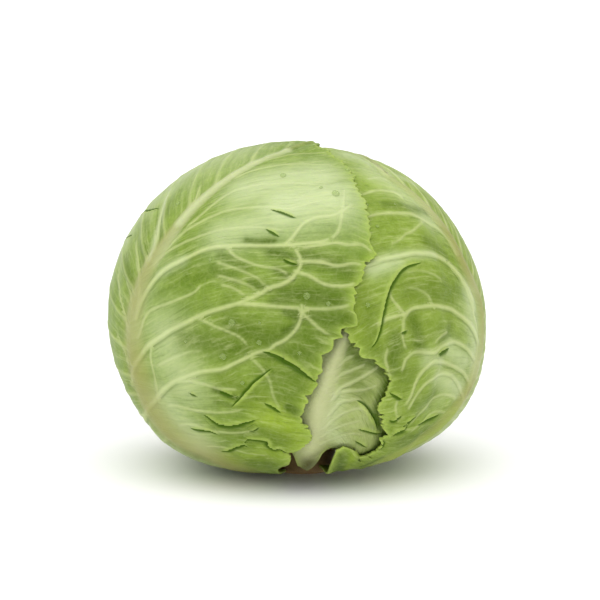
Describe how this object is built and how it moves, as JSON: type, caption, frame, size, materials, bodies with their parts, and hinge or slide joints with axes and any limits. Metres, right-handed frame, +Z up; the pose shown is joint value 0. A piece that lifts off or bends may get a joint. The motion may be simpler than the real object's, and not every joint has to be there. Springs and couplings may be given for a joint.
{
  "type": "iceberg lettuce",
  "caption": "Round, tightly wrapped head of lettuce with large veined leaves folded over one another and a flat cut stem underneath.",
  "frame": {"origin": "on the surface that the head stands on, under the middle of its bounding box", "axes": "+Z up, the stem at the bottom; -Y towards the side where the left leaf overlaps the right leaf and the pale front leaf shows between them; +X to the viewer's right"},
  "size_m": [0.1655, 0.1542, 0.1436],
  "materials": {
    "leaf_left": "fresh green leaf, smooth and slightly waxy, with pale veins and a whitish midrib",
    "leaf_right": "fresh green leaf, smooth and slightly waxy, with pale veins and a yellowish midrib",
    "leaf_front": "pale inner leaf, satin, with a thick cream base",
    "leaf_back": "fresh green leaf, smooth and slightly waxy",
    "leaf_back_right": "fresh green leaf, smooth and slightly waxy",
    "heart": "pale yellow-green inner leaves, satin",
    "stem": "cut stem, cream with a browned end, dull"
  },
  "bodies": {
    "root": {"leaf_left": "leaf_left", "leaf_right": "leaf_right", "leaf_front": "leaf_front", "leaf_back": "leaf_back", "leaf_back_right": "leaf_back_right", "heart": "heart", "stem": "stem"}
  },
  "joints": []
}
